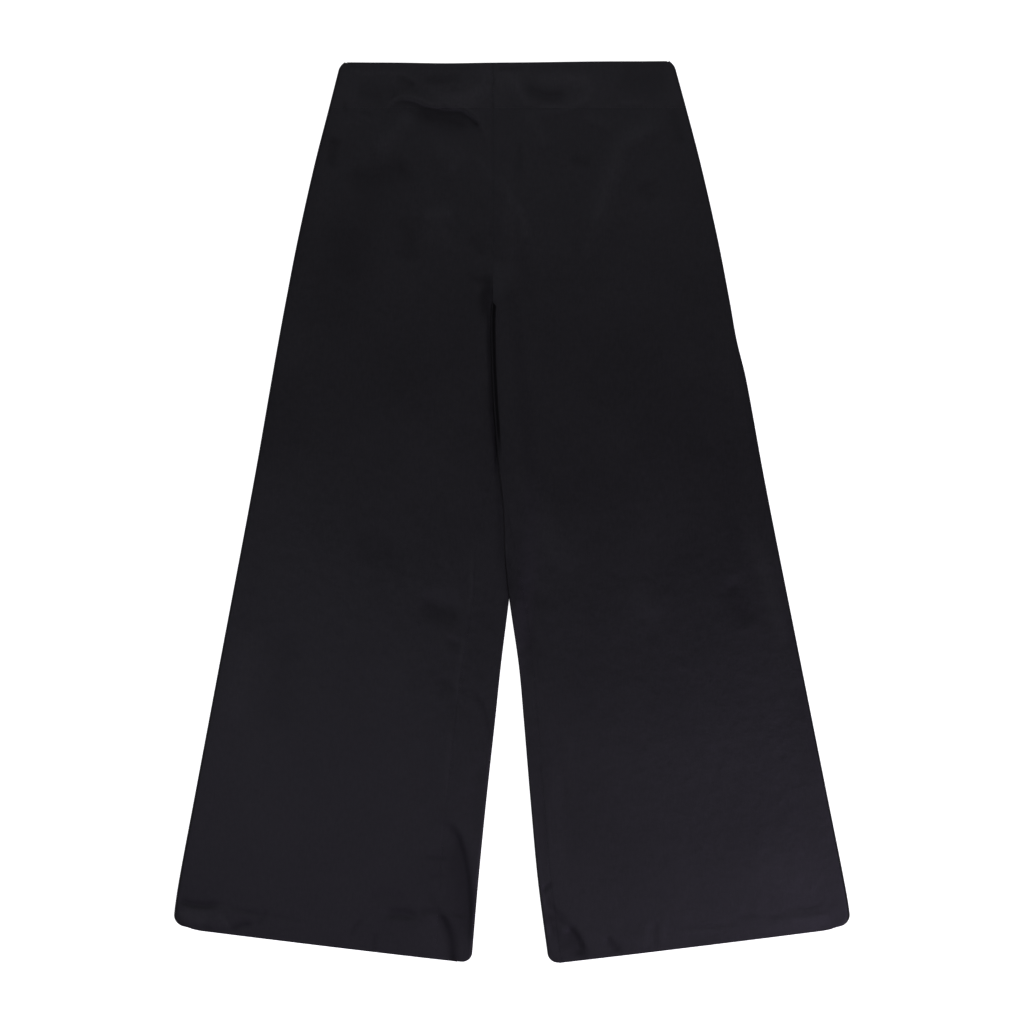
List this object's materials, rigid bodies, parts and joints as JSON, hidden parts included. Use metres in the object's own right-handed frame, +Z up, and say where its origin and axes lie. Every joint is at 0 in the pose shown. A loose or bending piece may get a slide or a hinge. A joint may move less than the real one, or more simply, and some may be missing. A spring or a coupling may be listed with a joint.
{
  "type": "wide-leg trousers",
  "caption": "High-waisted wide-leg trousers in dark satin-faced cloth, laid flat with the front up and one leg overlapping the other.",
  "frame": {"origin": "centre of the footprint, on the surface that the trousers lie on", "axes": "+X to the right seen from above with the waist away from the viewer, +Y along the length toward the waist, +Z up, out of the garment's front"},
  "size_m": [0.7834, 1.043, 0.007],
  "materials": {
    "leg_cloth": "near-black satin-faced woven cloth with a soft low sheen",
    "waistband_cloth": "the same near-black satin-faced cloth, doubled and pressed"
  },
  "bodies": {
    "root": {"front_left": "leg_cloth", "front_right": "leg_cloth", "back_left": "leg_cloth", "back_right": "leg_cloth", "waistband_front_left": "waistband_cloth", "waistband_front_right": "waistband_cloth", "waistband_back": "waistband_cloth"}
  },
  "joints": []
}
